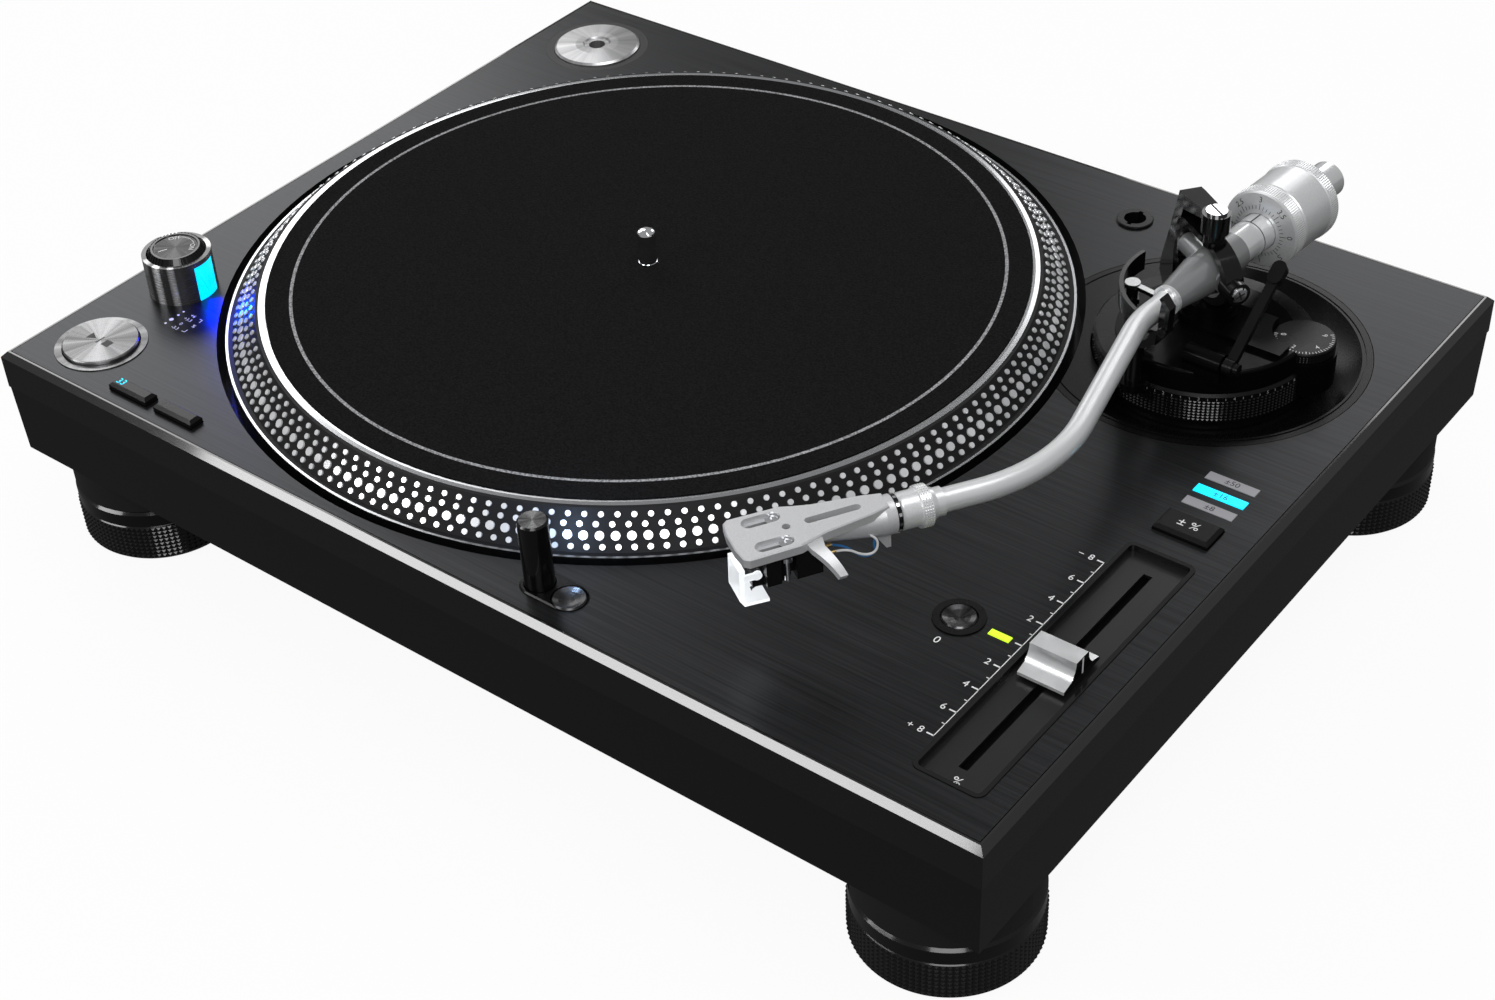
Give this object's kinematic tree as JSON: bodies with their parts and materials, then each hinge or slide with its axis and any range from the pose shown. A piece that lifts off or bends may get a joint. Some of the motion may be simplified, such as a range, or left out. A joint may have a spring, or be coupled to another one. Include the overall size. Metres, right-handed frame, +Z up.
{
  "type": "dj turntable",
  "caption": "Direct-drive turntable with a bevelled case, dotted platter, slip mat, S-shaped tonearm, tempo fader, strobe tower and height-adjustable feet.",
  "frame": {"origin": "on the floor, under the middle of the case", "axes": "+X to the right seen from the front, +Y to the back, +Z up"},
  "size_m": [0.453, 0.353, 0.1444],
  "materials": {
    "cast_black": "satin powder coat",
    "deck_black": "black anodised, finely brushed",
    "rubber_black": "matte",
    "foot_black": "glossy band over a knurled side",
    "platter_silver": "polished cast rim",
    "felt_black": "felt",
    "chrome": "mirror chrome",
    "brushed_silver": "fine brushed",
    "satin_silver": "satin anodised",
    "arm_black": "gloss black",
    "base_silver": "grey satin",
    "soft_black": "fine textured",
    "key_silver": "satin metallised",
    "clear": "clear",
    "lamp": "lit lens",
    "brass_gold": "gold plated",
    "board_green": "solder mask",
    "steel_plain": "plain"
  },
  "bodies": {
    "root": {"upper_chassis": "cast_black", "top_plate": "deck_black", "base_case": "cast_black", "bottom_cover": "soft_black", "case_screws": "chrome", "foot_collars": "rubber_black", "motor_stator": "board_green", "bearing_housing": "steel_plain", "control_board": "board_green", "power_supply": "steel_plain", "jack_panel": "soft_black", "rca_jacks": "brass_gold", "ground_post": "brass_gold", "power_inlet": "soft_black", "strobe_tower": "brushed_silver", "strobe_window": "clear", "start_bezel": "deck_black", "light_bezel": "deck_black", "fader_tray": "soft_black", "reset_ring": "brushed_silver", "panel_lamps": "lamp", "adapter_cup": "soft_black", "headshell_socket": "chrome", "arm_well": "cast_black"},
    "platter": {"platter": "platter_silver", "rotor_magnet": "steel_plain", "spindle": "chrome"},
    "slipmat": {"slipmat": "felt_black"},
    "power_knob": {"power_knob": "soft_black"},
    "start_button": {"start_button": "brushed_silver"},
    "speed_key_33": {"speed_key_33": "key_silver"},
    "speed_key_45": {"speed_key_45": "key_silver"},
    "light_button": {"light_button": "key_silver"},
    "stylus_light": {"stylus_light": "brushed_silver"},
    "reset_button": {"reset_button": "key_silver"},
    "range_button": {"range_button": "key_silver"},
    "fader_knob": {"fader_knob": "brushed_silver"},
    "adapter": {"adapter_45": "brushed_silver"},
    "height_ring": {"height_ring": "arm_black"},
    "arm_base": {"arm_base": "base_silver", "arm_yoke": "arm_black", "pivot_cap": "chrome", "arm_rest": "arm_black"},
    "gimbal": {"gimbal_ring": "arm_black"},
    "arm": {"arm_tube": "satin_silver"},
    "counterweight": {"counterweight": "satin_silver"},
    "weight_dial": {"weight_dial": "satin_silver"},
    "locking_collar": {"locking_collar": "chrome"},
    "headshell": {"headshell": "satin_silver", "cartridge": "soft_black", "cartridge_screws": "chrome"},
    "stylus_guard": {"stylus_guard": "clear"},
    "cue_lever": {"cue_lever": "chrome"},
    "cue_lift": {"cue_lift": "arm_black"},
    "anti_skate_dial": {"anti_skate_dial": "satin_silver"},
    "rest_clamp": {"rest_clamp": "arm_black"},
    "foot_front_left": {"foot_front_left": "foot_black"},
    "foot_front_right": {"foot_front_right": "foot_black"},
    "foot_back_left": {"foot_back_left": "foot_black"},
    "foot_back_right": {"foot_back_right": "foot_black"}
  },
  "joints": [
    {"name": "platter_spin", "type": "hinge", "parent": "root", "child": "platter", "pos_m": [-0.0448, 0.0002, 0.0975], "axis": [0, 0, -1], "continuous": true},
    {"name": "mat_slip", "type": "hinge", "parent": "platter", "child": "slipmat", "pos_m": [-0.0448, 0.0002, 0.0975], "axis": [0, 0, -1], "continuous": true},
    {"name": "power_turn", "type": "hinge", "parent": "root", "child": "power_knob", "pos_m": [-0.2007, -0.1041, 0.1022], "axis": [0, 0, 1], "range_deg": [0, 60]},
    {"name": "start_press", "type": "slide", "parent": "root", "child": "start_button", "axis": [0, 0, -1], "range_m": [0, 0.0012], "stiffness_N_per_m": 900, "springref_m": -0.0005},
    {"name": "key_33_press", "type": "slide", "parent": "root", "child": "speed_key_33", "axis": [0, 0, -1], "range_m": [0, 0.0006], "stiffness_N_per_m": 1200, "springref_m": -0.0004},
    {"name": "key_45_press", "type": "slide", "parent": "root", "child": "speed_key_45", "axis": [0, 0, -1], "range_m": [0, 0.0006], "stiffness_N_per_m": 1200, "springref_m": -0.0004},
    {"name": "light_button_press", "type": "slide", "parent": "root", "child": "light_button", "axis": [0, 0, -1], "range_m": [0, 0.0012], "stiffness_N_per_m": 900, "springref_m": -0.0005},
    {"name": "light_sink", "type": "slide", "parent": "root", "child": "stylus_light", "axis": [0, 0, -1], "range_m": [0, 0.027]},
    {"name": "reset_press", "type": "slide", "parent": "root", "child": "reset_button", "axis": [0, 0, -1], "range_m": [0, 0.0012], "stiffness_N_per_m": 900, "springref_m": -0.0005},
    {"name": "range_press", "type": "slide", "parent": "root", "child": "range_button", "axis": [0, 0, -1], "range_m": [0, 0.0006], "stiffness_N_per_m": 1200, "springref_m": -0.0004},
    {"name": "fader_slide", "type": "slide", "parent": "root", "child": "fader_knob", "axis": [0, 1, 0], "range_m": [-0.0495, 0.0515]},
    {"name": "adapter_lift", "type": "slide", "parent": "root", "child": "adapter", "axis": [0, 0, 1], "range_m": [0, 0.02]},
    {"name": "height_turn", "type": "hinge", "parent": "root", "child": "height_ring", "pos_m": [0.1525, 0.0858, 0.085], "axis": [0, 0, 1], "range_deg": [0, 216]},
    {"name": "base_rise", "type": "slide", "parent": "root", "child": "arm_base", "axis": [0, 0, 1], "range_m": [0, 0.006]},
    {"name": "arm_yaw", "type": "hinge", "parent": "arm_base", "child": "gimbal", "pos_m": [0.1525, 0.0858, 0.12024], "axis": [0, 0, -1], "range_deg": [0, 43]},
    {"name": "arm_pitch", "type": "hinge", "parent": "gimbal", "child": "arm", "pos_m": [0.1525, 0.0858, 0.12024], "axis": [-0.8462, 0.5329, 0], "range_deg": [-1.8, 12]},
    {"name": "weight_turn", "type": "hinge", "parent": "arm", "child": "counterweight", "pos_m": [0.1554, 0.12479, 0.11986], "axis": [-0.0743, -0.9972, 0.0096], "continuous": true},
    {"name": "dial_turn", "type": "hinge", "parent": "counterweight", "child": "weight_dial", "pos_m": [0.15482, 0.11691, 0.11994], "axis": [-0.0743, -0.9972, 0.0096], "continuous": true},
    {"name": "collar_turn", "type": "hinge", "parent": "arm", "child": "locking_collar", "pos_m": [0.14778, -0.08725, 0.1219], "axis": [-0.5338, -0.8456, 0.0085], "range_deg": [0, 90]},
    {"name": "shell_pull", "type": "slide", "parent": "arm", "child": "headshell", "axis": [-0.5338, -0.8456, 0.0085], "range_m": [0, 0.012]},
    {"name": "guard_swing", "type": "hinge", "parent": "headshell", "child": "stylus_guard", "pos_m": [0.11456, -0.13995, 0.1156], "axis": [-0.8456, 0.5337, -0.0045], "range_deg": [0, 55]},
    {"name": "lever_turn", "type": "hinge", "parent": "arm_base", "child": "cue_lever", "pos_m": [0.1796, 0.0521, 0.106], "axis": [1, 0, 0], "range_deg": [0, 70]},
    {"name": "cue_rise", "type": "slide", "parent": "arm_base", "child": "cue_lift", "axis": [0, 0, 1], "range_m": [0, 0.0025]},
    {"name": "skate_turn", "type": "hinge", "parent": "arm_base", "child": "anti_skate_dial", "pos_m": [0.189, 0.0917, 0.1], "axis": [0, 0, 1], "range_deg": [0, 270]},
    {"name": "clamp_close", "type": "hinge", "parent": "arm_base", "child": "rest_clamp", "pos_m": [0.15988, 0.03964, 0.1215], "axis": [-0.0743, -0.9972, 0], "range_deg": [0, 66]},
    {"name": "foot_front_left_turn", "type": "hinge", "parent": "root", "child": "foot_front_left", "pos_m": [-0.1917, -0.1422, 0.0244], "axis": [0, 0, 1], "continuous": true},
    {"name": "foot_front_right_turn", "type": "hinge", "parent": "root", "child": "foot_front_right", "pos_m": [0.1917, -0.1422, 0.0244], "axis": [0, 0, 1], "continuous": true},
    {"name": "foot_back_left_turn", "type": "hinge", "parent": "root", "child": "foot_back_left", "pos_m": [-0.1917, 0.1414, 0.0244], "axis": [0, 0, 1], "continuous": true},
    {"name": "foot_back_right_turn", "type": "hinge", "parent": "root", "child": "foot_back_right", "pos_m": [0.1917, 0.1414, 0.0244], "axis": [0, 0, 1], "continuous": true}
  ],
  "couplings": [
    {"joint": "base_rise", "follows": "height_turn", "m_per_rad": 0.0015915},
    {"joint": "cue_rise", "follows": "lever_turn", "m_per_rad": 0.0020463}
  ]
}
